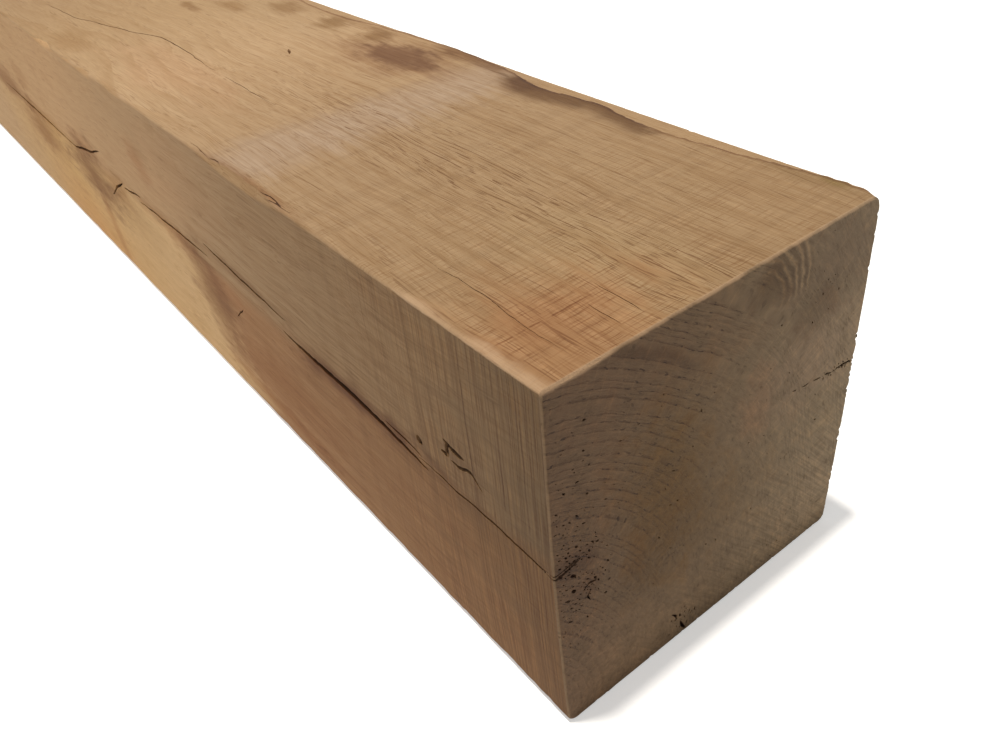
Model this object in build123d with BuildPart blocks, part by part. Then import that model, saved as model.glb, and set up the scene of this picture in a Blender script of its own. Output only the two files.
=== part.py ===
from build123d import *
import math
import os

# A length of sawn oak, lying on its bottom face. X runs along the grain, with the near end at +X, Z is up
# and the origin is the middle of the bottom face. "Back" is a distance from the near end.

# Section
beam_length = 1200
beam_width = 142
beam_height = 150

# The two sides have dried to a slight crown, and each long arris is worn to its own radius
side_crown = 1.1
top_left_round = 1.5
bottom_left_round = 4.5
bottom_right_round = 2.5
end_ease = 0.8

# The waney arris at the top right, where the saw ran out into the outside of the tree: a strip that falls
# away gently. Its width across the top is given at each pitch along the beam, from one pitch before the
# near end, and then repeats.
wane_pitch = 32
wane_widths = [2.0, 2.0, 3.5, 8.0, 9.5, 6.0, 9.0, 3.5, 2.0, 2.0, 3.0, 6.5, 8.0, 6.0, 4.0, 7.5, 9.0, 5.0, 2.5]
wane_drop = 1.1
wane_bulge = 0.25
wane_overrun = 5
wane_headroom = 15

# The long drying check that wanders along the left side, in strands that step up and down. Each strand is
# (back at its start, back at its end, height there, height there, gape, depth, rise of its root).
left_checks = [
    (-24, 84, 78.0, 80.5, 1.3, 17, 3),
    (60, 174, 77.4, 80.2, 3.0, 24, -2),
    (168, 255, 89.2, 92.4, 1.6, 15, 1),
    (252, 353, 86.8, 82.2, 1.5, 13, 0),
    (346, 378, 86.0, 81.5, 1.4, 9, 0),
    (376, 416, 84.5, 65.0, 1.9, 11, 0),
    (408, 478, 94.5, 79.0, 1.7, 11, 0),
    (466, 655, 79.0, 81.0, 1.8, 12, 0),
]
# Two shorter checks open on the near end, one in from the right side and one up from the bottom, and a
# shallow one wanders along the top. The last two give places across the beam in place of heights.
right_checks = [(-30, 190, 82.0, 86.0, 1.3, 30, 4)]
bottom_checks = [(-16, 62, -13.0, -11.0, 1.4, 15, -7)]
top_checks = [(238, 400, -26.0, -20.5, 1.2, 4, 0), (388, 548, -19.0, -43.5, 1.2, 4, 0)]
check_wander = 0.7
check_ripple = 0.4
check_ripple_waves = 2.5
check_steps = 8
mouth_overrun = 2
tip_clearance = 1

# Places where the arrises are torn or knocked, each (back, length along the arris, depth)
top_left_tears = [(183, 92, 2.6), (326, 30, 1.5), (375, 26, 2.2), (405, 22, 1.8), (452, 36, 2.4)]
bottom_left_tears = [(447, 15, 4.2)]
bottom_right_tears = [(3, 13, 2.6)]
top_right_tears = [(0, 13, 2.6)]

near_x = beam_length / 2
left_y = -beam_width / 2
right_y = beam_width / 2


def check_gap(strand, place):
    """The gap of one check strand, lofted through triangles that are open on the face. The first and the
    last one lie outside the face, so the gap runs out to nothing before its tips."""
    start, end, start_height, end_height, gape, depth, root_rise = strand
    mouth = side_crown + mouth_overrun
    tip_root = -side_crown - tip_clearance
    with BuildPart() as gap:
        for step in range(check_steps + 1):
            share = step / check_steps
            turn = 2 * math.pi * share
            drift = check_wander * math.sin(turn) + check_ripple * math.sin(check_ripple_waves * turn)
            height = start_height + (end_height - start_height) * share + drift
            depth_share = math.sqrt(math.sin(math.pi * share))
            root = tip_root + (depth - tip_root) * depth_share
            half_mouth = gape / 2 * (root + mouth) / depth
            with BuildSketch(Plane.YZ.offset(near_x - start - (end - start) * share)):
                with BuildLine():
                    Polyline(
                        place(height + half_mouth, -mouth),
                        place(height - half_mouth, -mouth),
                        place(height + root_rise * depth_share, root),
                        close=True,
                    )
                make_face()
        loft(ruled=True)
    return gap.part


def into_left(height, deep):
    return left_y + deep, height


def into_right(height, deep):
    return right_y - deep, height


def into_bottom(across, deep):
    return across, deep


def into_top(across, deep):
    return across, beam_height - deep


def tear_scoop(tear, arris_y, arris_z, outward):
    """A drum laid across an arris at 45 degrees, which dips into it by the tear's depth."""
    back, length, depth = tear
    radius = (length**2 / 4 + depth**2) / (2 * depth)
    arris = Vector(near_x - back, arris_y, arris_z)
    across = Vector(1, 0, 0).cross(outward)
    drum_plane = Plane(arris + outward * (radius - depth), x_dir=(1, 0, 0), z_dir=across)
    with BuildPart() as drum:
        with BuildSketch(drum_plane):
            Circle(radius)
        extrude(amount=2 * depth, both=True)
    return drum.part


check_gaps = [check_gap(strand, into_left) for strand in left_checks]
check_gaps += [check_gap(strand, into_right) for strand in right_checks]
check_gaps += [check_gap(strand, into_bottom) for strand in bottom_checks]
check_gaps += [check_gap(strand, into_top) for strand in top_checks]

up_left = Vector(0, -1, 1).normalized()
down_left = Vector(0, -1, -1).normalized()
down_right = Vector(0, 1, -1).normalized()
up_right = Vector(0, 1, 1).normalized()
tear_scoops = [tear_scoop(tear, left_y, beam_height, up_left) for tear in top_left_tears]
tear_scoops += [tear_scoop(tear, left_y, 0, down_left) for tear in bottom_left_tears]
tear_scoops += [tear_scoop(tear, right_y, 0, down_right) for tear in bottom_right_tears]
tear_scoops += [tear_scoop(tear, right_y, beam_height, up_right) for tear in top_right_tears]

with BuildPart() as oak_beam:
    # The sawn section, drawn on the near end and extruded back along the grain
    with BuildSketch(Plane.YZ.offset(near_x)) as section:
        with BuildLine():
            Line((left_y, 0), (right_y, 0))
            ThreePointArc(
                (right_y, 0), (right_y + side_crown, beam_height / 2), (right_y, beam_height)
            )
            Line((right_y, beam_height), (left_y, beam_height))
            ThreePointArc((left_y, beam_height), (left_y - side_crown, beam_height / 2), (left_y, 0))
        make_face()
        bottom_corners = section.vertices().group_by(Axis.Y)[0].sort_by(Axis.X)
        top_corners = section.vertices().group_by(Axis.Y)[-1].sort_by(Axis.X)
        fillet(bottom_corners[0], bottom_left_round)
        fillet(bottom_corners[-1], bottom_right_round)
        fillet(top_corners[0], top_left_round)
    extrude(amount=-beam_length)

    # The outer edge of each end is eased
    end_faces = oak_beam.faces().filter_by(Axis.X)
    chamfer([edge for face in end_faces for edge in face.edges()], end_ease)

    # The waney arris, cut by one loft through sections that widen and narrow along the beam. Each section
    # runs on past the strip at both sides, on the slope of its fall, and is closed well above the top.
    for stop in range(math.ceil(beam_length / wane_pitch) + 3):
        width = wane_widths[stop % len(wane_widths)]
        slope = wane_drop / width
        inner_y = right_y - width - wane_overrun
        outer_y = right_y + wane_overrun
        inner = (inner_y, beam_height + wane_overrun * slope)
        middle = (right_y - width / 2, beam_height - wane_drop / 2 + wane_bulge)
        outer = (outer_y, beam_height - wane_drop - wane_overrun * slope)
        with BuildSketch(Plane.YZ.offset(near_x - (stop - 1) * wane_pitch)):
            with BuildLine():
                ThreePointArc(inner, middle, outer)
                Polyline(
                    outer,
                    (outer_y, beam_height + wane_headroom),
                    (inner_y, beam_height + wane_headroom),
                    inner,
                )
            make_face()
    loft(mode=Mode.SUBTRACT)

    # The checks and the torn places
    add(check_gaps, mode=Mode.SUBTRACT)
    add(tear_scoops, mode=Mode.SUBTRACT)

oak_beam.part.label = "oak_beam"
print("oak_beam", oak_beam.part.is_valid, round(oak_beam.part.volume))

os.makedirs("parts", exist_ok=True)
export_step(oak_beam.part, "parts/oak_beam.step")
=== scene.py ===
import bpy, bmesh, math, random
from mathutils import Matrix, Vector, noise
from types import SimpleNamespace


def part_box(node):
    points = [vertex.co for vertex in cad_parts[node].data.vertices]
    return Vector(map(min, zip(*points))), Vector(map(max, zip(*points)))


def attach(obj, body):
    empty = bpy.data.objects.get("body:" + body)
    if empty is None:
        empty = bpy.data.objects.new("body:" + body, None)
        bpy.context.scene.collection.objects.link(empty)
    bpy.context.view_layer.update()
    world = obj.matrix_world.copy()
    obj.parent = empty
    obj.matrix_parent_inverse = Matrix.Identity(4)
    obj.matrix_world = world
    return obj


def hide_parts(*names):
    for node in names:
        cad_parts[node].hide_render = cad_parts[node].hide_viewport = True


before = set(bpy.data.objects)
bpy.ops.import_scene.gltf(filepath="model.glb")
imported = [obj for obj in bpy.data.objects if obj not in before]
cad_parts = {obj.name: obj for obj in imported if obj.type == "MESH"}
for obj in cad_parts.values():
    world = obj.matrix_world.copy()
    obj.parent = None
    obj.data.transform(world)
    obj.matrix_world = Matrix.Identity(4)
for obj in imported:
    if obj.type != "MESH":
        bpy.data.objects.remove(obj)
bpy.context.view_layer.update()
low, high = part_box("oak_beam")
mm = 0.001
nearX = high.x / mm
length = (high.x - low.x) / mm
height = (high.z - low.z) / mm
print("frame loaded: beam", round(length), "long,", round(height), "high")

# sizes below are in millimetres; back is a distance from the near end, up is a height above the floor
beamSkin = {
    "width": 142.0,
    "cellsAcross": 80,
    "cellsUp": 84,
    "drawToArris": 0.62,  # how far the rows of cells crowd towards the arrises, 0 to 1
    "firstStep": 1.1,  # spacing of the rings of cells at the near end
    "stepGrowth": 0.019,
    "lastStep": 12.0,
    "endPair": 0.6,  # spacing of the close pair of rings at each end
    "endGap": 2.0,  # least room that the other rings leave before the far end
    "crown": 1.1,
    "crownFade": 8,  # power by which the crown dies away under the sides
    "undulation": 0.22,
    "undulationSpans": (70, 16),  # along and across the beam
    "topBand": 30,  # how deep under the top its unevenness reaches
    "endEase": 0.45,
    "easeReach": (1.5, 1.5, 2.5),  # how near the sides, bottom and top a point of an end is eased
    "endHollow": 0.18,
    "hollowSpans": (21, 17),
    "sharpAngle": 38,
}
# each long arris: which side and whether up, its radius, how uneven that is, what its near tip adds, and
# its torn or knocked places as (back, length along the arris, depth)
arrises = {
    "topLeft": {
        "side": -1, "up": 1, "round": 1.3, "ragged": 0.8, "nearRound": 0.0,
        "tears": [(183, 92, 2.6), (326, 30, 1.5), (375, 26, 2.2), (405, 22, 1.8), (452, 36, 2.4)],
    },
    "bottomLeft": {
        "side": -1, "up": 0, "round": 4.2, "ragged": 0.2, "nearRound": 0.0,
        "tears": [(447, 15, 4.2)],
    },
    "bottomRight": {
        "side": 1, "up": 0, "round": 2.4, "ragged": 0.5, "nearRound": 0.0,
        "tears": [(3, 13, 2.6)],
    },
    "topRight": {
        "side": 1, "up": 1, "round": 0.9, "ragged": 0.4, "nearRound": 4.6,
        "tears": [],
    },
}
arrisWear = {
    "layers": ((13, 1), (4.1, 0.6), (2.2, 0.5)),  # span and share of each layer of unevenness
    "nearTip": 8,  # how far back the rounder near tip reaches
    "leastRound": 0.35,
    "tearRagged": 0.35,
    "tearSpan": 3,
}
wane = {
    "pitch": 32.0,
    "widths": [0.8, 0.8, 3.5, 8.0, 9.6, 6.0, 9.0, 3.5, 1.6, 1.4, 3.0, 6.5, 8.2, 6.0, 4.0, 7.5, 9.0, 5.0, 2.5],
    "leastWidth": 0.6,
    "drop": 1.1,  # how far the pale strip has fallen by the outer arris
    "fall": 1.6,  # power of its slope
    "lip": 0.25,  # height of the torn edge where the sawn top ends
    "lipRun": 1.2,
    "ragged": 0.8,
    "layers": ((11, 1, 3.3), (3.7, 1.1, 8.1)),  # span, share and seed of each layer of raggedness
}
pithY, pithZ = -113.0, 9.5  # the heart of the tree, outside the section
hair = 1e-4  # nearer than this is touching
random.seed(7)


def smooth(edge0, edge1, value):
    t = min(max((value - edge0) / (edge1 - edge0), 0.0), 1.0)
    return t * t * (3 - 2 * t)


def waneWidth(back):
    # a smooth curve through the widths, and the raggedness of the torn lip
    place = back / wane["pitch"] + 1
    count = len(wane["widths"])
    index = math.floor(place)
    t = place - index
    a, b, c, d = (wane["widths"][(index + step) % count] for step in (-1, 0, 1, 2))
    curve = b + t * ((c - a) / 2 + t * (a - 2.5 * b + 2 * c - d / 2 + t * (1.5 * (b - c) + (d - a) / 2)))
    rag = sum(share * noise.noise(Vector((back / span, seed, 0))) for span, share, seed in wane["layers"])
    return max(curve + wane["ragged"] * rag, wane["leastWidth"])


def waneFall(back, y):
    # how far the waney strip has fallen away outside its torn lip
    width = waneWidth(back)
    reach = (y - beamSkin["width"] / 2 + width) / width
    if reach <= 0:
        return 0.0
    lip = wane["lip"] * smooth(0, wane["lipRun"], reach * width)
    return lip + (wane["drop"] - wane["lip"]) * min(reach, 1) ** wane["fall"]


def rounded(y, z, cornerY, cornerZ, side, up, radius):
    # pulls a point of the square section in to a rounded arris, however deep inside it lies
    across = (y - cornerY) * side / radius + 1
    rise = (z - cornerZ) * up / radius + 1
    if across <= 0 or rise <= 0:
        return y, z
    share = max(across, rise) / math.hypot(across, rise)
    return cornerY - side * radius * (1 - across * share), cornerZ - up * radius * (1 - rise * share)


def wornArris(name, back, y, z):
    # an arris is rounded unevenly, and its torn places are bitten out of it
    arris, seed = arrises[name], len(name)
    side, up = arris["side"], 1 if arris["up"] else -1
    cornerY, cornerZ = side * beamSkin["width"] / 2, height * arris["up"]
    layers = arrisWear["layers"]
    rag = sum(share * noise.noise(Vector((back / span, seed, share))) for span, share in layers)
    radius = arris["round"] * (1 + arris["ragged"] * rag)
    radius += arris["nearRound"] * smooth(arrisWear["nearTip"], 0, back)
    y, z = rounded(y, z, cornerY, cornerZ, side, up, max(radius, arrisWear["leastRound"]))
    for place, span, depth in arris["tears"]:
        share = (back - place) / (span / 2)
        if abs(share) < 1:
            uneven = noise.noise(Vector((back / arrisWear["tearSpan"], seed, 9)))
            bite = depth * (1 - share * share) * (1 + arrisWear["tearRagged"] * uneven)
            out = ((y - cornerY) * side + (z - cornerZ) * up) / math.sqrt(2) + bite
            if out > 0:
                y -= side * out / math.sqrt(2)
                z -= up * out / math.sqrt(2)
    return y, z


def crownAt(z):
    return beamSkin["crown"] * (1 - (2 * z / height - 1) ** 2)


def easedEnd(x, y, z, end, inward, onOutline):
    # an end is eased round its outline and not quite flat
    if not onOutline:
        spanY, spanZ = beamSkin["hollowSpans"]
        hollow = 0.6 + 0.5 * noise.noise(Vector((y / spanY, z / spanZ, end)))
        return x + inward * beamSkin["endHollow"] * hollow, y, z
    ease = beamSkin["endEase"] * (1 + 0.6 * noise.noise(Vector((y / 5, z / 5, end))))
    besideReach, bottomReach, topReach = beamSkin["easeReach"]
    if abs(y) > beamSkin["width"] / 2 - besideReach:
        y -= math.copysign(ease, y)
    if z < bottomReach:
        z += ease
    elif z > height - topReach:
        z -= ease
    return x + inward * ease * 0.6, y, z


def shaped(x, y, z):
    # where a point of the square section comes to lie
    back = nearX - x
    half = beamSkin["width"] / 2
    onOutline = min(half - abs(y), z, height - z) < hair
    for name in arrises:
        y, z = wornArris(name, back, y, z)
    nearTop = smooth(height - beamSkin["topBand"], height, z)
    z -= nearTop * waneFall(back, y)
    # crown of the sides and a slight unevenness of every face but the one it rests on
    bulge = crownAt(z)
    alongSpan, acrossSpan = beamSkin["undulationSpans"]
    uneven = noise.noise(Vector((back / alongSpan, y / acrossSpan, z / acrossSpan)))
    dip = beamSkin["undulation"] * (0.5 + 0.5 * uneven)
    z -= nearTop * dip
    y += math.copysign((abs(y) / half) ** beamSkin["crownFade"] * (bulge - dip), y)
    for end, inward in ((nearX, -1), (nearX - length, 1)):
        if abs(x - end) < hair:
            return easedEnd(x, y, z, end, inward, onOutline)
    return x, y, z


def spread(t):
    return t - beamSkin["drawToArris"] * math.sin(2 * math.pi * t) / (2 * math.pi)


def ringPlaces():
    # distances from the near end of every ring of cells, with a close pair at each end for the eased edge
    pair = beamSkin["endPair"]
    places, step = [0.0, pair], beamSkin["firstStep"]
    while places[-1] + step < length - beamSkin["endGap"]:
        places.append(places[-1] + step)
        step = min(beamSkin["firstStep"] + places[-1] * beamSkin["stepGrowth"], beamSkin["lastStep"])
    return places + [length - pair, length]


def newVerts(result):
    return [g for g in result["geom"] if isinstance(g, bmesh.types.BMVert)]


def buildSkin():
    bm = bmesh.new()
    bmesh.ops.create_grid(bm, x_segments=beamSkin["cellsAcross"], y_segments=beamSkin["cellsUp"], size=0.5)
    span = max(v.co.x for v in bm.verts) * 2
    for v in bm.verts:
        across, up = spread(v.co.x / span + 0.5), spread(v.co.y / span + 0.5)
        v.co = Vector((nearX, (across - 0.5) * beamSkin["width"], up * height))
    endFaces = bm.faces[:]
    ring = [e for e in bm.edges if e.is_boundary]
    for place in ringPlaces()[1:]:
        made = bmesh.ops.extrude_edge_only(bm, edges=ring)
        ringVerts = newVerts(made)
        for v in ringVerts:
            v.co.x = nearX - place
        fresh = set(ringVerts)
        ring = [e for e in made["geom"] if isinstance(e, bmesh.types.BMEdge) and fresh.issuperset(e.verts)]
    farEnd = bmesh.ops.duplicate(bm, geom=endFaces)
    farVerts = newVerts(farEnd)
    bmesh.ops.translate(bm, verts=farVerts, vec=(-length, 0, 0))
    bmesh.ops.remove_doubles(bm, verts=list(set(farVerts) | set(ringVerts)), dist=1e-3)
    waneReach = bm.verts.layers.float.new("waneReach")
    for v in bm.verts:
        x, y, z = v.co
        v[waneReach] = y - beamSkin["width"] / 2 + waneWidth(nearX - x)
        v.co = Vector(shaped(x, y, z)) * mm
    bmesh.ops.recalc_face_normals(bm, faces=bm.faces)
    return bm


def asObject(bm, name):
    mesh = bpy.data.meshes.new(name)
    bm.to_mesh(mesh)
    bm.free()
    piece = bpy.data.objects.new(name, mesh)
    bpy.context.scene.collection.objects.link(piece)
    return piece


skin = asObject(buildSkin(), "oakBeam")
print("skin:", len(skin.data.vertices), "points,", len(skin.data.polygons), "faces")

# each crack: the face it opens on, its line as (back, up or across) places, gape, depth, and how far its root
# leans; on the end a place is (across, up), or (up, across) for a line that climbs
cracks = {
    "wander": 0.5,
    "wanderSpan": 9,
    "shake": 0.3,
    "shakeSpan": 2.3,
    "swaySpan": 7,  # of the root
    "shortRun": 40,  # a crack shorter than this wanders less
    "step": 2.2,
    "fewestSteps": 12,
    "ragged": 0.4,
    "raggedSpan": 2.6,
    "mouth": 1.5,  # how far outside the face the cutter starts
    "tip": 0.4,  # and how far outside it its ends lie
    "overlap": 0.03,
    "passes": [
        [
            ("left", [(-24, 78.6), (7, 78.8), (17, 79.2), (27, 79.7), (37, 79.6), (48, 79.0), (60, 79.5),
                      (72.5, 79.4)], 1.15, 17, 3),
            ("left", [(168, 89.6), (194, 90.6), (214, 91.4), (235, 92.8), (255, 93.8)], 1.6, 15, 1),
            ("left", [(346, 86.0), (378, 81.5)], 1.6, 9, 0),
            ("left", [(408, 94.5), (440, 86.0), (478, 79.0)], 2.0, 11, 0),
            ("right", [(-30, 82.0), (80, 84.5), (190, 86.0)], 1.0, 30, 4),
            ("top", [(306, -23.9), (321, -23.5), (351, -21), (390, -20), (426, -29), (459, -35), (489, -41),
                     (545, -43.5)], 0.55, 3, 0),
            ("left", [(53.4, 100.7), (50.6, 99.7), (48.4, 98.9), (45.0, 98.6), (41.4, 98.7)], 2.7, 5, 0),
            ("left", [(50.6, 93.5), (48.2, 93.2), (45.6, 93.0), (43.1, 94.0), (40.6, 95.2), (38.3, 95.2),
                      (35.0, 92.2), (32.4, 90.0)], 1.9, 2.6, 0),
            ("top", [(299, 13.2), (303, 14.6), (307, 16.2)], 1.6, 2, 0),
            ("left", [(223, 70.3), (228, 66.4), (237, 60.0)], 1.2, 2.5, 0),
            ("top", [(136, -70.0), (158, -69.8), (184, -69.7), (205, -69.3), (232, -68.9)], 0.45, 2.0, 0),
            ("endUp", [(0.8, -12.6), (4, -14.4), (8.5, -15.6)], 1.5, 6, 0),
            ("endUp", [(10.5, -17.6), (13, -18.0), (16, -20.3)], 1.3, 4, 0),
            ("end", [(-76, 79.4), (-69, 78.9), (-65.5, 80.0), (-61.0, 80.6)], 2.4, 7, 0),
            ("end", [(-61.5, 64.6), (-58.8, 66.4), (-55.2, 65.6)], 1.0, 3, 0),
            ("endUp", [(57.8, -58.4), (60.5, -59.4), (63.2, -58.0)], 0.9, 3, 0),
            ("end", [(36.0, 88.4), (38.6, 87.9)], 0.6, 2.0, 0),
            ("end", [(41.2, 87.6), (43.2, 87.0), (45.4, 87.3)], 0.7, 2.5, 0),
            ("end", [(47.6, 86.6), (52.2, 85.7)], 0.7, 2.5, 0),
            ("end", [(54.2, 85.7), (58.6, 84.5)], 0.9, 3, 0),
            ("end", [(60.2, 84.7), (65, 84.3), (73, 82.9)], 1.4, 4, 0),
            ("left", [(69.6, 80.8), (73, 81.7), (79, 82.5), (86, 82.9), (94, 83.1)], 1.1, 5, 0),
            ("top", [(240, -25.4), (262, -25.0), (301, -24.0)], 0.3, 1.2, 0),
            ("top", [(3.5, -55.0), (22, -55.4), (50, -53.9), (79, -54.4)], 0.22, 1.2, 0),
            ("top", [(6.4, -36.6), (14, -36.2), (22, -36.2)], 0.30, 1.3, 0),
            ("top", [(5.4, -28.3), (17, -27.6), (29, -27.4)], 0.28, 1.3, 0),
        ],
        [
            ("left", [(66, 76.2), (80, 78.0), (92, 79.0), (99, 79.7), (113, 80.8), (145, 80.8), (162, 80.9),
                      (176, 81.8)], 3.2, 24, 0),
            ("left", [(252, 87.0), (290, 85.8), (320, 83.9), (353, 82.0)], 1.6, 13, 0),
            ("left", [(376, 84.5), (392, 78.0), (416, 65.0)], 1.9, 11, 0),
            ("left", [(466, 79.0), (560, 80.4), (655, 81.0)], 1.7, 12, 0),
            ("top", [(144, -69.4), (154, -68.6), (168, -69.0)], 0.4, 1.4, 0),
        ],
    ],
}
# torn open pores on the near end: middle (y, z), spread in y and z, how many, radii
pits = {
    "depth": 1.7,
    "stretch": ((0.6, 1.4), (0.4, 0.9), (0.9, 1.8)),  # least and most: inwards, across a ring, along it
    "turnSpread": 0.35,
    "smallShare": 2.2,  # power that makes small ones the commonest
    "apart": 1.6,
    "triesEach": 3,
    "margins": (0.6, 0.8, 1.2, 1.5),  # kept clear at the left, right, bottom and top
    "rough": 0.55,
    "roughPitch": 1.6,
    "groups": [
        ((-63.0, 81.5), (4.4, 2.0), 44, (0.35, 1.20)),
        ((-58.0, 83.5), (2.2, 1.2), 12, (0.40, 1.10)),
        ((-59.0, 64.5), (3.4, 3.2), 40, (0.30, 1.05)),
        ((-68.0, 72), (4.5, 17), 84, (0.22, 0.62)),
        ((-66.0, 104), (9.0, 18), 34, (0.20, 0.50)),
        ((63.0, 84.5), (5.0, 1.2), 16, (0.40, 0.90)),
        ((-15.5, 8), (2.4, 4), 22, (0.30, 0.90)),
        ((34.0, 9), (3.0, 4.0), 8, (0.25, 0.60)),
        ((46.0, 124), (4.0, 6.0), 12, (0.25, 0.60)),
        ((0.0, 60), (48, 40), 84, (0.16, 0.52)),
    ],
    # single hollows on the left side: (back, z), radii along, into and up the side
    "left": [
        ((51.3, 97.0), (1.15, 3.0, 3.4)),
        ((53.4, 94.2), (2.0, 2.4, 1.1)),
        ((69.4, 89.3), (1.7, 1.7, 2.2)),
    ],
    "leftRise": 0.8,  # how far outside the side their middles lie
}
# small chips along the worn arrises: from and to as (back, y, z), how many, radii, how long they are drawn
chips = {
    "missing": 0.25,
    "shift": 0.14,
    "longRow": 20,  # along an axis in which a row runs further than this, its chips are drawn out
    "rows": [
        ((0.3, 71.0, 144), (0.3, 71.0, 3), 56, (0.70, 1.70), 1.1),
        ((0.2, -71.2, 146), (0.2, -71.2, 6), 30, (0.35, 0.70), 1.5),
        ((0.3, -64, 0.3), (0.3, 66, 0.3), 30, (0.40, 0.90), 1.4),
        ((14, 70.7, 148.7), (330, 70.7, 148.7), 36, (0.40, 0.80), 2.4),
    ],
}


def intoBeam(face, along, across, deep):
    # a point under a face of the beam, from its place on the face and its depth
    half = beamSkin["width"] / 2
    return Vector({
        "end": (nearX - deep, along, across),
        "endUp": (nearX - deep, across, along),
        "left": (nearX - along, -half + deep, across),
        "right": (nearX - along, half - deep, across),
        "top": (nearX - along, across, height - deep),
    }[face])


def placeOnLine(line, share):
    # a place on a line of points, by its share of the line's whole run
    run = line[0][0] + (line[-1][0] - line[0][0]) * share
    for (fromRun, fromAcross), (toRun, toAcross) in zip(line, line[1:]):
        if run <= toRun or toRun == line[-1][0]:
            t = (run - fromRun) / (toRun - fromRun)
            return run, fromAcross + (toAcross - fromAcross) * (t * t * (3 - 2 * t) * 0.5 + t * 0.5)


def crackSection(face, line, gape, depth, lean, seed, step, count):
    # two points of a crack's mouth and one at its root, some way along it
    bulge = beamSkin["crown"] if face in ("left", "right") else 0.0
    mouth, tip = bulge + cracks["mouth"], -bulge - cracks["tip"]
    small = min((line[-1][0] - line[0][0]) / cracks["shortRun"], 1)
    back, across = placeOnLine(line, step / count)
    across += cracks["wander"] * small * noise.noise(Vector((back / cracks["wanderSpan"], seed, 0)))
    across += cracks["shake"] * small * noise.noise(Vector((back / cracks["shakeSpan"], seed, 7)))
    deepness = math.sqrt(max(math.sin(math.pi * step / count), 0))
    root = tip + (depth - tip) * deepness
    halfMouth = gape / 2 * (root + mouth) / (depth + bulge)
    place = back / cracks["raggedSpan"]
    upper, lower = (cracks["ragged"] * noise.noise(Vector((place, seed, lip))) for lip in (4, 9))
    sway = small * noise.noise(Vector((back / cracks["swaySpan"], seed, 2)))
    return [
        intoBeam(face, back, across + halfMouth * (1 + upper) + cracks["overlap"], -mouth),
        intoBeam(face, back, across - halfMouth * (1 + lower) - cracks["overlap"], -mouth),
        intoBeam(face, back, across + lean * deepness + sway, root),
    ]


def cutCrack(bm, face, line, gape, depth, lean, seed):
    if line[0][0] > line[-1][0]:
        line = line[::-1]
    count = max(int((line[-1][0] - line[0][0]) / cracks["step"]), cracks["fewestSteps"])
    corners = [bm.verts.new(point) for point in crackSection(face, line, gape, depth, lean, seed, 0, count)]
    loop = [bm.edges.new((corners[i], corners[i - 1])) for i in range(3)]
    bmesh.ops.contextual_create(bm, geom=corners)
    for step in range(1, count + 1):
        made = bmesh.ops.extrude_edge_only(bm, edges=loop)
        fresh = set(newVerts(made))
        # each new corner lies on the old one that it grew from, and is moved on to its own place
        corners = [next(e.other_vert(old) for e in old.link_edges if e.other_vert(old) in fresh
                        and e.calc_length() < 1e-6) for old in corners]
        for vert, point in zip(corners, crackSection(face, line, gape, depth, lean, seed, step, count)):
            vert.co = point
        loop = [e for e in made["geom"] if isinstance(e, bmesh.types.BMEdge) and fresh.issuperset(e.verts)]
    bmesh.ops.contextual_create(bm, geom=corners)


def addPit(bm, middle, size, seed, turn=0.0):
    # a small rough lump to be cut away
    made = bmesh.ops.create_icosphere(bm, subdivisions=2, radius=1)
    turned = Matrix.Rotation(turn, 3, "X")
    for v in made["verts"]:
        v.co *= 1 + pits["rough"] * noise.noise(v.co * pits["roughPitch"] + Vector((seed, 0, 0)))
        v.co = Vector(middle) + turned @ Vector((v.co.x * size[0], v.co.y * size[1], v.co.z * size[2]))


def placePits():
    # the middles and radii of the end's pits, none of them too near another
    placed = []
    half = beamSkin["width"] / 2
    left, right, bottom, top = pits["margins"]
    for (y0, z0), (spreadY, spreadZ), count, (smallest, largest) in pits["groups"]:
        for tries in range(count * pits["triesEach"]):
            if count == 0:
                break
            y, z = random.gauss(y0, spreadY), random.gauss(z0, spreadZ)
            radius = smallest + (largest - smallest) * random.random() ** pits["smallShare"]
            inFace = left - half < y < half - right and bottom < z < height - top
            if inFace and all(math.hypot(y - a, z - b) > pits["apart"] * (radius + r) for a, b, r in placed):
                placed.append((y, z, radius))
                count -= 1
    return placed


def cutPits(bm):
    for y, z, radius in placePits():
        # drawn out along the year ring
        wholes = (pits["depth"], radius, radius)
        size = [whole * random.uniform(*stretch) for whole, stretch in zip(wholes, pits["stretch"])]
        turn = math.atan2(z - pithZ, y - pithY) + random.gauss(0, pits["turnSpread"])
        addPit(bm, (nearX, y, z), size, y * 3.1 + z, turn)
    for (back, z), size in pits["left"]:
        addPit(bm, (nearX - back, -beamSkin["width"] / 2 - pits["leftRise"], z), size, back)


def cutChips(bm):
    for index, (start, stop, count, (smallest, largest), drawn) in enumerate(chips["rows"]):
        for step in range(count):
            if random.random() < chips["missing"]:
                continue
            share = (step + 0.5 + random.uniform(-chips["shift"], chips["shift"])) / count
            back, y, z = (a + (b - a) * share for a, b in zip(start, stop))
            radius = random.uniform(smallest, largest)
            longWay = [drawn if abs(b - a) > chips["longRow"] else 1.0 for a, b in zip(start, stop)]
            if abs(z - height / 2) < height / 2 - 1:
                y += math.copysign(crownAt(z), y)
            addPit(bm, (nearX - back, y, z), [radius * k for k in longWay], index * 7.7 + step)


def cutAway(piece, bm, name):
    bmesh.ops.recalc_face_normals(bm, faces=bm.faces)
    bmesh.ops.scale(bm, vec=(mm, mm, mm), verts=bm.verts)
    cutter = asObject(bm, name)
    cut = piece.modifiers.new(name, "BOOLEAN")
    cut.operation = "DIFFERENCE"
    cut.solver = "MANIFOLD"
    cut.object = cutter
    graph = bpy.context.evaluated_depsgraph_get()
    result = bpy.data.meshes.new_from_object(piece.evaluated_get(graph))
    piece.modifiers.remove(cut)
    old, piece.data = piece.data, result
    bpy.data.meshes.remove(old)
    bpy.data.objects.remove(cutter)
    print(name, "left", len(result.polygons), "faces")


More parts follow.
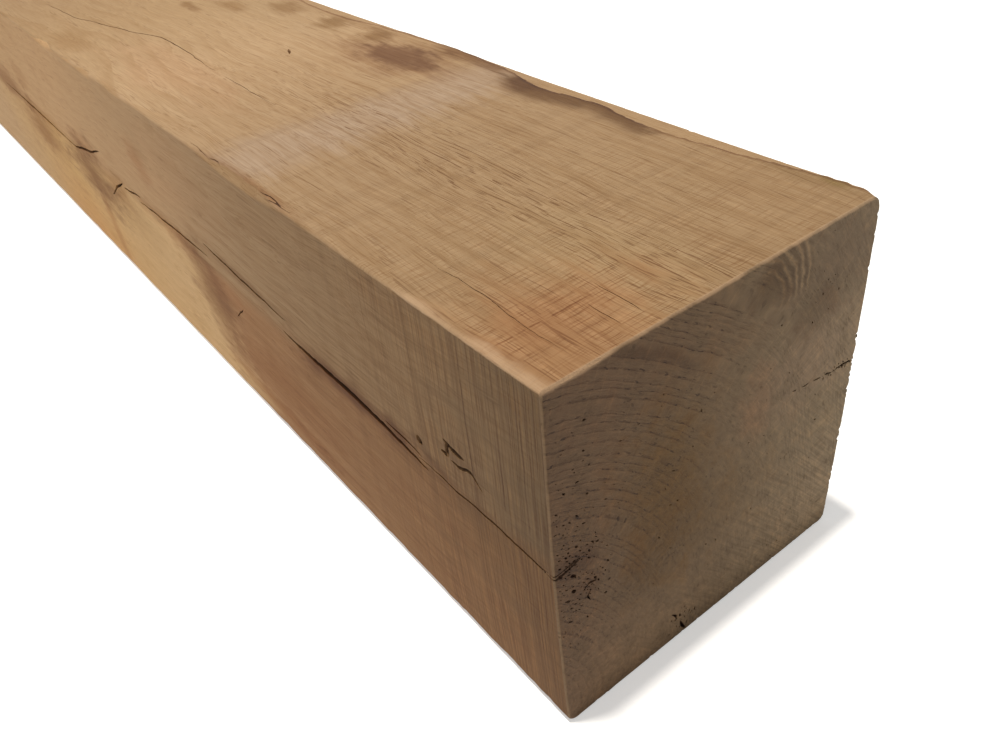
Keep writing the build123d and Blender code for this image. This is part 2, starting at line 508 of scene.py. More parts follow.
# strands that overlap are cut in separate passes
seed = 0
for turn, lines in enumerate(cracks["passes"]):
    bm = bmesh.new()
    for face, line, gape, depth, lean in lines:
        seed += 2.3
        cutCrack(bm, face, line, gape, depth, lean, seed)
    cutAway(skin, bm, "crackCut" + str(turn))
for name, cutter in (("chipCut", cutChips), ("pitCut", cutPits)):
    bm = bmesh.new()
    cutter(bm)
    cutAway(skin, bm, name)

skin.data.polygons.foreach_set("use_smooth", [True] * len(skin.data.polygons))
skin.data.set_sharp_from_angle(angle=math.radians(beamSkin["sharpAngle"]))


class Wire:
    # one output of a node; sums and products of wires and numbers add their Math nodes
    def __init__(self, tree, socket=None):
        self.tree, self.socket = tree, socket

    def node(self, kind, settings=None, inputs=None, output=0):
        made = self.tree.nodes.new(kind)
        for name, value in (settings or {}).items():
            if name == "stops":
                ramp = made.color_ramp
                while len(ramp.elements) < len(value):
                    ramp.elements.new(0.5)
                for element, (place, tone) in zip(ramp.elements, value):
                    element.position, element.color = place, tone
            else:
                setattr(made, name, value)
        for name, value in (inputs or {}).items():
            if isinstance(value, Wire):
                self.tree.links.new(value.socket, made.inputs[name])
            else:
                made.inputs[name].default_value = value
        return Wire(self.tree, made.outputs[output]) if made.outputs else None

    def math(self, operation, first, second=0.0):
        return self.node("ShaderNodeMath", {"operation": operation}, {0: first, 1: second})

    def __add__(self, other):
        return self.math("ADD", self, other)

    def __radd__(self, other):
        return self.math("ADD", other, self)

    def __sub__(self, other):
        return self.math("SUBTRACT", self, other)

    def __rsub__(self, other):
        return self.math("SUBTRACT", other, self)

    def __mul__(self, other):
        return self.math("MULTIPLY", self, other)

    def __rmul__(self, other):
        return self.math("MULTIPLY", other, self)

    def __truediv__(self, other):
        return self.math("DIVIDE", self, other)

    def __rtruediv__(self, other):
        return self.math("DIVIDE", other, self)

    def __abs__(self):
        return self.math("ABSOLUTE", self)

    def least(self, other):
        return self.math("MINIMUM", self, other)

    def most(self, other):
        return self.math("MAXIMUM", self, other)

    def fract(self):
        return self.math("FRACT", self)

    def sine(self):
        return self.math("SINE", self)

    def angleOver(self, other):
        return self.math("ARCTAN2", self, other)

    def between(self, low, high):
        # 0 at low, 1 at high, eased at both; low may be the larger
        settings = {"interpolation_type": "SMOOTHSTEP"}
        return self.node("ShaderNodeMapRange", settings, {0: self, 1: low, 2: high})

    def band(self, middle, halfWidth, soft):
        return abs(self - middle).between(halfWidth + soft, halfWidth - soft)

    def scaled(self, factors, shift=(0, 0, 0)):
        settings = {"operation": "MULTIPLY_ADD"}
        return self.node("ShaderNodeVectorMath", settings, {0: self, 1: factors, 2: shift})

    def drawnOut(self, spans):
        # a place in a pattern that is drawn out along the grain
        along, across = spans
        return self.scaled((1 / along, 1 / across, 1 / across))

    def flattened(self, spans):
        return self.scaled((1 / spans[0], 1 / spans[1], 0))

    def moved(self, other):
        return self.node("ShaderNodeVectorMath", {"operation": "ADD"}, {0: self, 1: other})

    def reach(self):
        return self.node("ShaderNodeVectorMath", {"operation": "LENGTH"}, {0: self}, output=1)

    def part(self, axis):
        return self.node("ShaderNodeSeparateXYZ", None, {0: self}, output="XYZ".index(axis))

    def beside(self, other):
        # two numbers as a flat place
        return self.node("ShaderNodeCombineXYZ", None, {0: self, 1: other, 2: 0.0})

    def noise(self, detail=2.0, roughness=0.5, output=0):
        return self.node("ShaderNodeTexNoise", None,
                         {"Vector": self, "Scale": 1.0, "Detail": detail, "Roughness": roughness}, output)

    def flatNoise(self, detail=2.0, roughness=0.5):
        return self.node("ShaderNodeTexNoise", {"noise_dimensions": "2D"},
                         {"Vector": self, "Scale": 1.0, "Detail": detail, "Roughness": roughness})

    def noiseAlong(self, detail):
        # noise of one number, as a colour
        inputs = {"W": self, "Scale": 1.0, "Detail": detail}
        return self.node("ShaderNodeTexNoise", {"noise_dimensions": "1D"}, inputs, 1)

    def tone(self, first, second, blend="MIX"):
        # the wire is the factor, the other two are colours
        settings = {"data_type": "RGBA", "blend_type": blend}
        return self.node("ShaderNodeMix", settings, {0: self, 6: first, 7: second}, output=2)

    def tint(self, wood, shade):
        # multiplies a colour where the wire is high
        return self.tone(wood, (*shade, 1.0), "MULTIPLY")


def colour(hexText, level=1.0):
    # a colour as seen on a face, turned to linear light and to the paint that the light of the face asks for
    parts = [int(hexText[i:i + 2], 16) / 255 for i in (0, 2, 4)]
    return tuple((p / 12.92 if p < 0.04045 else ((p + 0.055) / 1.055) ** 2.4) / level for p in parts) + (1.0,)


def newMaterial(name):
    material = bpy.data.materials.new(name)
    material.use_nodes = True
    material.node_tree.nodes.clear()
    return material


oak = {
    "ringPitch": 5.5,
    "endRingPitch": 3.3,
    "wander": 14.0,  # how far the heart drifts along the beam
    "wanderSpan": 170,
    "warp": 7.0,
    # spans of the patterns, along the grain and across it
    "warpSpans": (60, 24),
    "fibreSpans": (20, 0.52),
    "streakSpans": (100, 3.4),
    "blotchSpans": (26, 11),
    "poreSpans": (13, 0.5),
    "veinSpans": (150, 1.1),
    "markSpans": (0.8, 24),
    "slowRowSpan": 8.5,
    # and on the ends, across the year rings and along them
    "furSpans": (1.5, 6),
    "raySpans": (15, 1.0),
    "dashSpans": (0.9, 2.8),
    "crossSpans": (26, 1.3),
    "crossTurn": 48,  # degrees by which the marks of the cross cut fall to the right
    "fibreRelief": 0.12,
    "markRelief": 0.22,
    "furRelief": 0.35,
    "light": {"top": 1.13, "left": 0.80, "end": 0.79},
    # colours as seen on each face: top and sides by distance from the near end, the end from its left side
    "topStops": [(0, "a98a65"), (160, "ae8f6b"), (320, "c3a27b"), (450, "b7966d"), (640, "a68660")],
    # on the sides the darkening towards the near end is partly the wood's own tone and partly painted shade,
    # and the brightening further back is painted light
    "upperToneAndLightStops": [(0, "655037"), (70, "7d6345"), (240, "957958"), (470, "b08d65"), (680, "ad8a60")],
    "lowerToneAndLightStops": [(0, "694c2d"), (70, "7e5c3a"), (235, "926c46"), (292, "bb9b70"), (520, "b7935f"),
                   (720, "b09069")],
    "endStops": [(0, "594431"), (70, "63503a"), (142, "796851")],
    "pale": "b9a089",
    "waneStrip": "b8966e",
    "wornEdge": "caa885",
    "endRim": "bf9d7a",
    "sideRim": "8f7659",
    # painted shade inside the checks and pits, near the end and further back
    "checkShade": "3c2113",
    "farCheckShade": "886540",
    # what each mark multiplies the wood's red, green and blue by
    "topTints": {
        "streak": (0.90, 0.86, 0.80),
        "darkFibre": (0.83, 0.77, 0.69),
        "paleFibre": (1.12, 1.10, 1.07),
        "figure": (0.82, 0.75, 0.65),
        "vein": (0.72, 0.63, 0.51),
        "slowRow": (0.93, 0.92, 0.91),
        "pore": (0.50, 0.39, 0.28),
        "darkMark": (0.76, 0.66, 0.55),
        "paleMark": (1.13, 1.11, 1.09),
        "cornerMark": (0.72, 0.60, 0.49),
        "cornerPore": (0.70, 0.56, 0.45),
        "sawCut": (0.58, 0.45, 0.33),
        "waneFibre": (0.84, 0.78, 0.70),
        "smear": (0.40, 0.31, 0.21),
        "lip": (0.56, 0.44, 0.33),
    },
    "sideTints": {
        "streak": (0.91, 0.87, 0.82),
        "darkFibre": (0.86, 0.80, 0.72),
        "paleFibre": (1.12, 1.10, 1.07),
        "figure": (0.84, 0.78, 0.70),
        "vein": (0.76, 0.69, 0.60),
        "blotch": (0.93, 0.90, 0.86),
        "pore": (0.60, 0.50, 0.40),
        "darkMark": (0.66, 0.53, 0.39),
        "paleMark": (1.24, 1.18, 1.03),
        "slowRow": (0.90, 0.88, 0.85),
        # painted warm bounce light from the floor along the foot of the side, further back
        "floorBounceFoot": (1.01, 0.89, 0.78),
    },
    "endTints": {
        "paleFur": (1.18, 1.16, 1.13),
        "darkFur": (0.84, 0.81, 0.78),
        "darkBlotch": (0.86, 0.84, 0.81),
        "paleBlotch": (1.13, 1.12, 1.10),
        "ray": (1.20, 1.18, 1.14),
        "ringLine": (0.68, 0.61, 0.55),
        "paleRing": (1.12, 1.10, 1.09),
        "dash": (0.38, 0.31, 0.25),
        "crumb": (1.75, 1.62, 1.45),
        "darkCross": (0.83, 0.81, 0.78),
        "paleCross": (1.15, 1.13, 1.10),
        "darkRing": (0.68, 0.61, 0.54),
        "paleKnot": (1.42, 1.38, 1.30),
        "darkKnot": (0.72, 0.67, 0.62),
    },
    # single saw cuts: place back, from and to (y on the top, z on the left), half width, strength
    "sawCuts": {
        "top": [
            (23.8, -66, -33, 0.30, 1.3),
            (13.0, -70, -40, 0.25, 0.5),
            (35.0, -62, -30, 0.25, 0.4),
        ],
        "left": [
            (37.2, 92, 149, 0.35, 0.8),
            (34.6, 100, 146, 0.22, 0.5),
            (21.4, 84, 149, 0.35, 0.8),
            (15.2, 60, 140, 0.25, 0.5),
            (10.0, 30, 149, 0.30, 0.7),
            (5.6, 50, 146, 0.25, 0.7),
            (52.0, 60, 118, 0.25, 0.5),
            (66.0, 96, 136, 0.25, 0.35),
            (93.0, 98, 142, 0.25, 0.4),
            (29.0, 14, 74, 0.25, 0.5),
        ],
    },
    # stains: middle (back and y or z; on the end y and z), radii, what they multiply the wood by, softness
    "stains": {
        "top": [
            ((248, 46), (25, 11), (0.50, 0.40, 0.33), 0.4),
            ((250, 43), (42, 16), (0.80, 0.72, 0.66), 0.6),
            ((300, 66), (130, 9), (0.88, 0.84, 0.79), 0.6),
            ((285, 56), (13, 9), (0.60, 0.51, 0.38), 0.5),
            ((327, 55), (13, 9), (0.62, 0.54, 0.41), 0.6),
            ((381, 52), (14, 6), (0.70, 0.62, 0.50), 0.7),
            ((416, 35), (16, 6), (0.76, 0.68, 0.56), 0.6),
            ((442, 17), (16, 3), (0.66, 0.57, 0.45), 0.6),
            ((436, -58), (22, 9), (0.84, 0.78, 0.68), 0.8),
            ((167, 60), (9, 8), (0.72, 0.63, 0.53), 0.5),
            ((213, 67), (26, 6), (0.58, 0.48, 0.38), 0.6),
            ((174, -70), (34, 2.6), (0.74, 0.60, 0.48), 0.8),
            ((22, 67), (26, 7), (0.86, 0.85, 0.80), 0.7),
            ((14, -50), (30, 27), (1.05, 0.91, 0.82), 0.7),
            ((24, -38), (10, 22), (0.94, 0.88, 0.84), 0.8),
            ((16, 68), (7, 3), (0.80, 0.80, 0.62), 0.5),
            ((330, -40), (60, 16), (1.02, 0.98, 0.98), 0.6),
            ((400, 52), (90, 22), (0.95, 0.96, 0.97), 0.8),
            ((30, -18), (40, 18), (1.06, 1.09, 1.09), 0.8),
        ],
        "left": [
            ((262, 62), (23, 25), (0.68, 0.60, 0.49), 0.6),
            ((196, 40), (44, 15), (0.84, 0.74, 0.61), 0.7),
            ((205, 15), (58, 5), (0.84, 0.72, 0.58), 0.6),
            ((236, 74), (24, 8), (1.02, 0.97, 0.96), 0.6),
            ((324, 115), (12, 9), (0.88, 0.77, 0.68), 0.7),
            ((318, 98), (44, 20), (1.09, 1.07, 1.06), 0.8),
            ((262, 126), (44, 24), (1.07, 1.04, 1.03), 0.8),
            ((448, 67), (40, 17), (0.46, 0.35, 0.24), 0.8),
            ((384, 66), (34, 14), (0.86, 0.83, 0.78), 0.9),
            ((450, 22), (8, 30), (0.84, 0.74, 0.64), 0.6),
            ((640, 84), (44, 12), (0.66, 0.55, 0.43), 0.6),
            ((570, 64), (44, 14), (0.62, 0.50, 0.37), 0.7),
            ((578, 103), (15, 8), (0.90, 0.85, 0.78), 0.5),
            ((126, 81.0), (44, 7.0), (0.76, 0.66, 0.54), 0.7),
            ((121, 81.2), (33, 4.6), (0.64, 0.53, 0.41), 0.7),
            ((155, 67), (15, 8), (0.88, 0.86, 0.82), 0.8),
            ((212, 91.6), (42, 3.0), (0.72, 0.62, 0.52), 0.8),
            ((306, 83.4), (50, 4.2), (0.78, 0.68, 0.56), 0.8),
            ((397, 76.5), (20, 9), (0.82, 0.73, 0.62), 0.8),
            ((446, 87), (26, 6), (0.76, 0.65, 0.53), 0.8),
            ((560, 80.5), (80, 5), (0.78, 0.68, 0.56), 0.8),
            ((69.4, 89.6), (3.4, 3.2), (0.70, 0.62, 0.54), 0.7),
            ((60, 84.8), (9, 2.6), (0.80, 0.73, 0.66), 0.8),
            ((46, 95.5), (13, 7), (0.88, 0.84, 0.79), 0.8),
        ],
        "end": [
            ((-26, 82), (17, 34), (0.80, 0.69, 0.43), 0.8),
            ((17, 92), (8, 13), (1.06, 0.98, 0.94), 0.8),
            ((-10, 58), (26, 16), (0.90, 0.86, 0.76), 0.9),
            ((-30, 136), (34, 16), (0.90, 0.86, 0.84), 0.9),
            ((-36, 50), (13, 9), (0.88, 0.86, 0.80), 0.8),
            ((19, 139), (9, 7), (0.66, 0.60, 0.52), 0.8),
            ((43, 119), (11, 8), (0.78, 0.74, 0.68), 0.8),
            ((46, 98), (26, 16), (1.08, 1.05, 1.10), 0.8),
            ((-64, 76), (11, 26), (0.88, 0.86, 0.84), 0.8),
            ((-65, 79.5), (9, 4.5), (0.64, 0.58, 0.54), 0.7),
            ((-60, 64), (6, 4.5), (0.80, 0.75, 0.71), 0.7),
            ((56, 134), (28, 18), (0.76, 0.72, 0.72), 0.8),
            ((-60, 88), (18, 34), (0.98, 0.94, 0.89), 0.8),
            ((-50, 12), (26, 22), (1.27, 1.27, 1.25), 0.9),
            ((56, 18), (18, 20), (1.10, 1.09, 1.10), 0.9),
        ],
    },
}


def stopRamp(value, stops, level):
    # colours at measured places along a face
    low, high = stops[0][0], stops[-1][0]
    ramp = [((place - low) / (high - low), colour(tone, level)) for place, tone in stops]
    return value.node("ShaderNodeValToRGB", {"stops": ramp}, {0: (value - low) / (high - low)})


def stained(wood, at, place, face):
    for (x, y), (wide, high), shade, soft in oak["stains"][face]:
        away = place.scaled((1 / wide, 1 / high, 0), (-x / wide, -y / high, 0)).reach() + at.rag
        wood = away.between(1 + soft, 1 - soft).tint(wood, shade)
    return wood


def sawnLines(wood, at, across, face):
    for place, start, stop, halfWidth, strength in oak["sawCuts"][face]:
        run = across.band((start + stop) / 2, (stop - start) / 2, 6) * at.streak.between(0.28, 0.44)
        line = (at.back + at.blotch * 1.6).band(place, halfWidth, 0.3) * run
        wood = (line * strength).tint(wood, oak["topTints"]["sawCut"])
    return wood


def readPlace(start):
    # where a point lies, and how far it is under each face
    at = SimpleNamespace()
    at.place = start.node("ShaderNodeTexCoord", output=3).scaled((1 / mm, 1 / mm, 1 / mm))
    at.x, at.y, at.z = (at.place.part(axis) for axis in "XYZ")
    at.back = nearX - at.x
    rise = 2 / height * at.z - 1
    at.sideDepth = beamSkin["width"] / 2 + beamSkin["crown"] * (1 - rise * rise) - abs(at.y)
    at.topDepth = height - at.z
    at.endDepth = at.back.least(length - at.back)
    at.onEnd = at.endDepth.between(1.1, 0.6)
    at.onTop = (at.topDepth + at.y.between(40, -40) * 0.9).between(2.3, 1.7)
    # painted shade inside the checks and pits: where a point lies well under the nearest face, but not on a
    # worn arris or the waney strip
    worn = at.sideDepth.most(at.topDepth).between(4.5, 2.8).most(at.sideDepth.most(at.z).between(5.6, 4.8))
    worn = worn.most(at.y.between(58, 61) * at.topDepth.between(2.2, 1.7))
    nearest = at.sideDepth.least(at.topDepth).least(at.endDepth * 1.6).least(at.z)
    at.inside = nearest.between(0.6, 1.4) * (1 - worn)
    return at


def readRings(at):
    # the grain, warped a little, and how far round its year ring a point lies
    warp, wander = oak["warp"], oak["wander"]
    bend = at.place.drawnOut(oak["warpSpans"]).noise(1.0, output=1)
    at.grain = at.place.moved(bend.scaled((0, warp, warp), (0, -warp / 2, -warp / 2)))
    drift = (at.x / oak["wanderSpan"]).noiseAlong(1.0).scaled((0, wander, wander))
    toHeart = (0, -pithY - wander / 2, -pithZ - wander / 2)
    at.ring = (at.grain.moved(drift).scaled((0, 1, 1), toHeart).reach() / oak["ringPitch"]).fract()
    at.early = at.ring.between(0.42, 0.04)
    at.late = at.ring.between(0.25, 0.96)


def addGrain(at):
    # fibres, streaks, pores and blotches, all drawn out along the grain
    at.fibre = at.grain.drawnOut(oak["fibreSpans"]).noise(2.0, 0.65)
    at.streak = at.grain.drawnOut(oak["streakSpans"]).noise(1.0, 0.6)
    at.blotch = at.place.drawnOut(oak["blotchSpans"]).noise(3.0, 0.6) - 0.5
    at.rag = at.blotch * 2.2 + at.streak * 0.5 - 0.25
    at.pore = at.grain.drawnOut(oak["poreSpans"]).noise(0.0)
    at.vein = at.grain.drawnOut(oak["veinSpans"]).noise(0.0)
    at.slowRow = (at.back / oak["slowRowSpan"]).noiseAlong(1.0).part("X")
    # saw marks run across the top and upright on the sides, strongest near the end
    upright = at.y * at.onTop + at.z * (1 - at.onTop) * 0.4
    at.marks = (at.back + at.blotch * 1.3).beside(upright).flattened(oak["markSpans"]).flatNoise(2.0, 0.75)
    at.patches = (at.blotch + at.streak - 0.5).between(-0.20, 0.16)


def topWood(at):
    level, tints = oak["light"]["top"], oak["topTints"]
    wood = stopRamp(at.back + at.blotch * 70, oak["topStops"], level)
    paleBand = (at.back + at.blotch * 24 + at.streak * 26 + 0.04 * at.y).band(204, 17, 13)
    wood = (paleBand * 0.62).tone(wood, colour(oak["pale"], level))
    near = at.back.between(420, 160)
    wood = (at.streak.between(0.60, 0.36) * (0.4 + 0.6 * near)).tint(wood, tints["streak"])
    wood = (at.fibre.between(0.50, 0.34) * (0.5 + 0.5 * near)).tint(wood, tints["darkFibre"])
    wood = (at.fibre.between(0.54, 0.70) * 0.8).tint(wood, tints["paleFibre"])
    figure = at.late * (at.back.between(180, 330) * at.y.between(24, -30) * at.patches * 0.6 + 0.12)
    wood = figure.tint(wood, tints["figure"])
    # long dark veins, and faint rows across the beam where the saw slowed
    veined = at.y.band(2, 34, 12) * near * 0.4 + 0.12
    wood = (at.vein.between(0.63, 0.70) * veined).tint(wood, tints["vein"])
    wood = (at.slowRow.between(0.52, 0.66) * at.back.between(250, 200) * 0.8).tint(wood, tints["slowRow"])
    # dark pore streaks, thickest in a band along the middle
    band = at.y.band(-8, 14, 9) * at.back.between(330, 120)
    pores = at.pore.between(0.60, 0.68) * (at.early * 0.4 + band * 0.6 + 0.12)
    wood = pores.tint(wood, tints["pore"])
    # saw marks
    sawn = at.back.between(210, 5) * (at.y.between(60, -40) * 0.45 + 0.6) * at.patches
    wood = (at.marks.between(0.52, 0.66) * sawn).tint(wood, tints["darkMark"])
    wood = (at.marks.between(0.46, 0.32) * sawn * 0.8).tint(wood, tints["paleMark"])
    corner = at.back.between(80, 15) * at.y.between(-5, -45)
    wood = (at.marks.between(0.50, 0.64) * corner * 0.28).tint(wood, tints["cornerMark"])
    wood = (at.pore.between(0.58, 0.66) * corner * 0.4).tint(wood, tints["cornerPore"])
    wood = stained(wood, at, at.back.beside(at.y), "top")
    wood = sawnLines(wood, at, at.y, "top")
    return wanePaint(at, wornPaint(at, wood, level), level, tints)


def wornPaint(at, wood, level):
    # the pale worn band along the top left arris
    worn = at.y + at.blotch * 11 + at.fibre * 4 + (at.back * 0.045).least(3.4)
    worn = worn.between(-64.0, -67.6) * (at.back.between(200, 110) * 0.4 + 0.6)
    return (worn * (at.fibre * 0.8 + at.marks * 0.7 - 0.15)).tone(wood, colour(oak["wornEdge"], level))


def wanePaint(at, wood, level, tints):
    # the pale waney strip, the torn dark line inside it and the brown smear beside that
    reach = at.place.node("ShaderNodeAttribute", {"attribute_name": "waneReach"}, output=2)
    reach = reach + at.blotch * 3.2 + at.fibre * 2.4 - 1.2
    strip = reach.between(-0.1, 0.5)
    wood = (strip * 0.6).tone(wood, colour(oak["waneStrip"], level))
    wood = (strip * at.fibre.between(0.52, 0.36) * 0.6).tint(wood, tints["waneFibre"])
    smear = (reach + at.blotch * 8 - at.back.between(165, 105) * 3.5).between(-16.0, -5.0)
    smear = smear * reach.between(0.6, -0.2) * (at.back + at.blotch * 40).band(134, 44, 8)
    wood = smear.tint(wood, tints["smear"])
    lip = reach.between(-1.7, -0.3) * reach.between(0.7, 0.0) * (at.blotch + 0.5).between(0.20, 0.45)
    return (lip * 0.9).tint(wood, tints["lip"])


def sideWood(at):
    level, tints = oak["light"]["left"], oak["sideTints"]
    # the side ramps carry painted light and shade along the face, darker at the near end and lighter further
    # back, as well as the wood's own tone
    upper = stopRamp(at.back + at.blotch * 70, oak["upperToneAndLightStops"], level)
    lower = stopRamp(at.back + at.blotch * 90 + (40 - at.z) * 0.6, oak["lowerToneAndLightStops"], level)
    # two tones on the photographed side, one on the other
    wood = (at.z + at.blotch * 16).between(76, 88).most(at.y.between(-45, 50)).tone(lower, upper)
    near = at.back.between(380, 120) * (at.back.between(10, 80) * 0.65 + 0.35)
    wood = (at.streak.between(0.60, 0.36) * (0.35 + 0.65 * near)).tint(wood, tints["streak"])
    wood = (at.fibre.between(0.50, 0.32) * (0.4 + 0.6 * near)).tint(wood, tints["darkFibre"])
    wood = (at.fibre.between(0.54, 0.72) * (0.3 + 0.5 * near)).tint(wood, tints["paleFibre"])
    wood = (at.late * 0.2).tint(wood, tints["figure"])
    wood = (at.vein.between(0.62, 0.72) * near * 0.5).tint(wood, tints["vein"])
    wood = at.blotch.between(0.02, 0.18).tint(wood, tints["blotch"])
    wood = (at.pore.between(0.60, 0.70) * (at.early * 0.4 + 0.15)).tint(wood, tints["pore"])
    # upright saw marks
    sawn = at.back.between(150, 15) * (0.55 + 0.45 * at.patches)
    wood = (at.marks.between(0.51, 0.62) * sawn).tint(wood, tints["darkMark"])
    wood = (at.marks.between(0.48, 0.36) * sawn * 0.8).tint(wood, tints["paleMark"])
    wood = (at.slowRow.between(0.52, 0.66) * at.back.between(190, 60)).tint(wood, tints["slowRow"])
    # painted warm bounce light from the floor, low on the side further back
    wood = (at.z.between(60, 8) * at.back.band(510, 60, 60) * 0.8).tint(wood, tints["floorBounceFoot"])
    left = sawnLines(stained(wood, at, at.back.beside(at.z), "left"), at, at.z, "left")
    return at.y.between(-40, -60).tone(wood, left)


def endWood(at):
    level, tints = oak["light"]["end"], oak["endTints"]
    wood = stopRamp(at.y + beamSkin["width"] / 2 + at.blotch * 60, oak["endStops"], level)
    # the year rings, in smooth arcs round the heart
    face = at.y.beside(at.z)
    toHeart = face.moved((-pithY, -pithZ, 0))
    heart = toHeart.reach() + face.scaled((1 / 70, 1 / 70, 0)).flatNoise(0.0) * 9 + at.blotch * 1.5
    heart = heart + (heart / 13).noiseAlong(1.0).part("X") * 9
    around = toHeart.part("Y").angleOver(toHeart.part("X")) * 140
    ring = (heart / oak["endRingPitch"]).fract()
    polar = heart.beside(around)
    # a sawn face furred along the rings, with paler rays across them
    at.fur = polar.flattened(oak["furSpans"]).flatNoise(3.0, 0.75)
    wood = at.fur.between(0.50, 0.70).tint(wood, tints["paleFur"])
    wood = at.fur.between(0.50, 0.32).tint(wood, tints["darkFur"])
    wood = at.blotch.between(0.0, 0.16).tint(wood, tints["darkBlotch"])
    wood = at.blotch.between(0.0, -0.16).tint(wood, tints["paleBlotch"])
    rays = polar.flattened(oak["raySpans"]).flatNoise(1.0, 0.5)
    wood = (rays.between(0.60, 0.72) * 0.7).tint(wood, tints["ray"])
    # dark and pale lines and broken rows of open pores along the rings, clearest at the upper left
    ringShow = (at.y - 0.6 * at.z + at.blotch * 60).between(-45, -100)
    line = ring.between(0.30, 0.05) * at.fur.between(0.68, 0.42)
    wood = (line * (ringShow * 0.8 + 0.06)).tint(wood, tints["ringLine"])
    wood = (ring.between(0.50, 0.85) * ringShow * 0.5).tint(wood, tints["paleRing"])
    dash = polar.flattened(oak["dashSpans"]).flatNoise(1.0, 0.5).between(0.62, 0.70)
    rows = ring.between(0.40, 0.10) * ringShow + (at.blotch * 2.5).between(0.0, 0.4) * 0.6
    wood = (dash * rows.least(1.0)).tint(wood, tints["dash"])
    crumb = at.place.scaled((1, 1 / 0.8, 1 / 0.6)).noise(1.0).between(0.60, 0.70)
    crumb = crumb * at.y.between(-48, -58) * at.z.band(68, 34, 10)
    wood = (crumb * 0.7).tint(wood, tints["crumb"])
    # rough marks of the cross cut, falling to the right
    turned = {"Vector": face, "Angle": math.radians(oak["crossTurn"])}
    cross = face.node("ShaderNodeVectorRotate", {"rotation_type": "Z_AXIS"}, turned)
    cross = (cross.flattened(oak["crossSpans"]).flatNoise(2.0, 0.7) - 0.5) * (at.y - at.z).between(-130, 60)
    wood = cross.between(0.0, 0.14).tint(wood, tints["darkCross"])
    wood = cross.between(0.0, -0.14).tint(wood, tints["paleCross"])
    # what only the near end has
    seen = stained(nearMarks(at, wood, face, toHeart, tints), at, face, "end")
    return at.back.between(60, 30).tone(wood, seen)


def nearMarks(at, wood, face, toHeart, tints):
    # a dark streak along one ring, and arcs round a knot under the top right corner
    darkRing = (toHeart.reach() + at.blotch * 4).band(154.5, 2.0, 2.2) * at.y.band(-31, 16, 8)
    wood = darkRing.tint(wood, tints["darkRing"])
    knotReach = face.scaled((1, 0.9, 0), (-14, -120, 0)).reach() + at.blotch * 5
    arcs = (knotReach * (2 * math.pi / 3.2)).sine()
    near = knotReach.between(27, 22) * knotReach.between(7, 11) * at.y.between(12, 18)
    near = near * at.z.between(127, 134) * at.blotch.between(-0.3, 0.0)
    wood = (near * arcs.between(0.3, 1.0)).tint(wood, tints["paleKnot"])
    return (near * arcs.between(0.1, -0.7)).tint(wood, tints["darkKnot"])


def woodShader(at, wood, relief):
    # the pale worn rims and the painted shade inside the checks and pits lie over every face
    wood = (at.rim * (0.25 + at.fibre * 0.7)).tone(wood, colour(oak["endRim"], 0.95))
    wood = (at.sideRim * 0.5).tone(wood, colour(oak["sideRim"], 0.85))
    wood = at.inside.tone(wood, at.hollow)
    bump = wood.node("ShaderNodeBump", None, {"Strength": 0.9, "Distance": mm, "Height": relief})
    rough = 0.88 - 0.16 * at.fibre
    sockets = {"Base Color": wood, "Roughness": rough, "Normal": bump, "Specular IOR Level": 0.35}
    return wood.node("ShaderNodeBsdfPrincipled", None, sockets)


def oakMaterial():
    material = newMaterial("sawnOak")
    start = Wire(material.node_tree)
    at = readPlace(start)
    readRings(at)
    addGrain(at)
    rag = at.blotch * 2.0 + at.fibre * 0.8 - 0.4
    topRim = (at.topDepth + rag + at.y.between(-60, -40) * 0.6).between(1.9, 0.5)
    at.rim = topRim * (at.endDepth + rag * 0.3).between(1.3, 0.5)
    at.sideRim = (at.sideDepth + rag * 0.25).between(0.9, 0.4) * at.endDepth.between(1.0, 0.5)
    # painted shade inside the checks and pits, lighter and browner further back
    at.hollow = at.back.between(90, 330).tone(colour(oak["checkShade"]), colour(oak["farCheckShade"]))
    # relief in millimetres
    sawn = at.marks * at.back.between(240, 10) * oak["markRelief"]
    side = woodShader(at, sideWood(at), at.fibre * oak["fibreRelief"] + sawn)
    top = woodShader(at, topWood(at), at.fibre * oak["fibreRelief"] + sawn)
    end = woodShader(at, endWood(at), at.fibre * 0.1 + at.fur * oak["furRelief"])
    longFaces = start.node("ShaderNodeMixShader", None, {0: at.onTop, 1: side, 2: top})
    whole = start.node("ShaderNodeMixShader", None, {0: at.onEnd, 1: longFaces, 2: end})
    start.node("ShaderNodeOutputMaterial", None, {"Surface": whole})
    return material


skin.data.materials.clear()
skin.data.materials.append(oakMaterial())
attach(skin, "root")
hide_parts("oak_beam")
print("material given")

cameraSet = {
    "place": (735.8, -172.5, 288.7),
    "azimuth": 56.38,
    "elevation": 37.83,
    "roll": -7.035,
    "lens": 31.95,
    "sensor": 36,
}


def addCamera():
    azimuth, elevation, roll = (math.radians(cameraSet[k]) for k in ("azimuth", "elevation", "roll"))
    level = math.cos(elevation)
    back = Vector((math.sin(azimuth) * level, -math.cos(azimuth) * level, math.sin(elevation)))
    right = Vector((math.cos(azimuth), math.sin(azimuth), 0))
    up = back.cross(right)
    turnedRight = right * math.cos(roll) + up * math.sin(roll)
    turnedUp = up * math.cos(roll) - right * math.sin(roll)
    data = bpy.data.cameras.new("camera")
    data.lens = cameraSet["lens"]
    data.sensor_width = cameraSet["sensor"]
    data.clip_start = 10 * mm
    camera = bpy.data.objects.new("camera", data)
    turn = Matrix((turnedRight, turnedUp, back)).transposed().to_4x4()
    camera.matrix_world = Matrix.Translation(Vector(cameraSet["place"]) * mm) @ turn
    bpy.context.scene.collection.objects.link(camera)
    bpy.context.scene.camera = camera


addCamera()

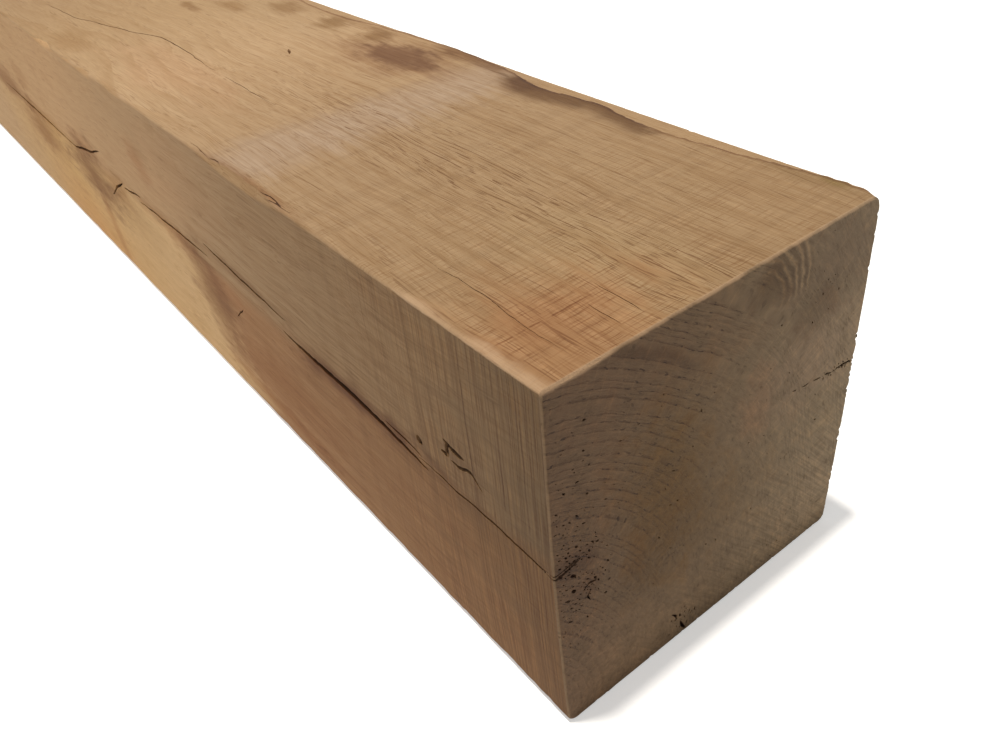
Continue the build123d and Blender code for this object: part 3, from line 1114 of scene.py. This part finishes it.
studio = {
    "worldStrength": 0.36,
    "worldColour": "f6f5f2",
    "sunStrength": 2.6,
    "sunPlace": (0, -0.3, 1.8),  # in metres
    "sunTravel": (9, 13, -150),  # the way the light falls, as the shadow on the floor shows it
    "sunSpread": 3.0,
    "sunColour": "fffaf2",
    "floorColour": "f4f3f1",
    "floorGlow": 0.40,  # what whitens the floor for the camera alone
    "floorSize": 6,  # half its width, in metres
}


def addSun():
    data = bpy.data.lights.new("ceilingLight", "SUN")
    data.energy = studio["sunStrength"]
    data.angle = math.radians(studio["sunSpread"])
    data.color = colour(studio["sunColour"])[:3]
    lamp = bpy.data.objects.new("ceilingLight", data)
    lamp.location = studio["sunPlace"]
    lamp.rotation_euler = Vector(studio["sunTravel"]).to_track_quat("-Z", "Y").to_euler()
    bpy.context.scene.collection.objects.link(lamp)


def addWorld():
    world = bpy.data.worlds.new("studio")
    bpy.context.scene.world = world
    world.use_nodes = True
    world.node_tree.nodes.clear()
    start = Wire(world.node_tree)
    seen = start.node("ShaderNodeLightPath", output="Is Camera Ray")
    glossy = start.node("ShaderNodeLightPath", output="Is Glossy Ray")
    soft = {"Color": colour(studio["worldColour"]), "Strength": studio["worldStrength"]}
    light = start.node("ShaderNodeBackground", None, soft)
    white = start.node("ShaderNodeBackground", None, {"Color": (1, 1, 1, 1), "Strength": 1.0})
    mixed = start.node("ShaderNodeMixShader", None, {0: seen.most(glossy), 1: light, 2: white})
    start.node("ShaderNodeOutputWorld", None, {"Surface": mixed})


def addFloor():
    bm = bmesh.new()
    bmesh.ops.create_grid(bm, x_segments=1, y_segments=1, size=studio["floorSize"])
    floor = asObject(bm, "floor")
    material = newMaterial("paleFloor")
    start = Wire(material.node_tree)
    seen = start.node("ShaderNodeLightPath", output="Is Camera Ray")
    matt = start.node("ShaderNodeBsdfDiffuse", None, {"Color": colour(studio["floorColour"])})
    glowing = {"Color": (1, 1, 1, 1), "Strength": seen * studio["floorGlow"]}
    glow = start.node("ShaderNodeEmission", None, glowing)
    both = start.node("ShaderNodeAddShader", None, {0: matt, 1: glow})
    start.node("ShaderNodeOutputMaterial", None, {"Surface": both})
    floor.data.materials.append(material)


addSun()
addWorld()
addFloor()
bpy.context.scene.view_settings.view_transform = "Standard"
print("camera, lamps and floor placed")
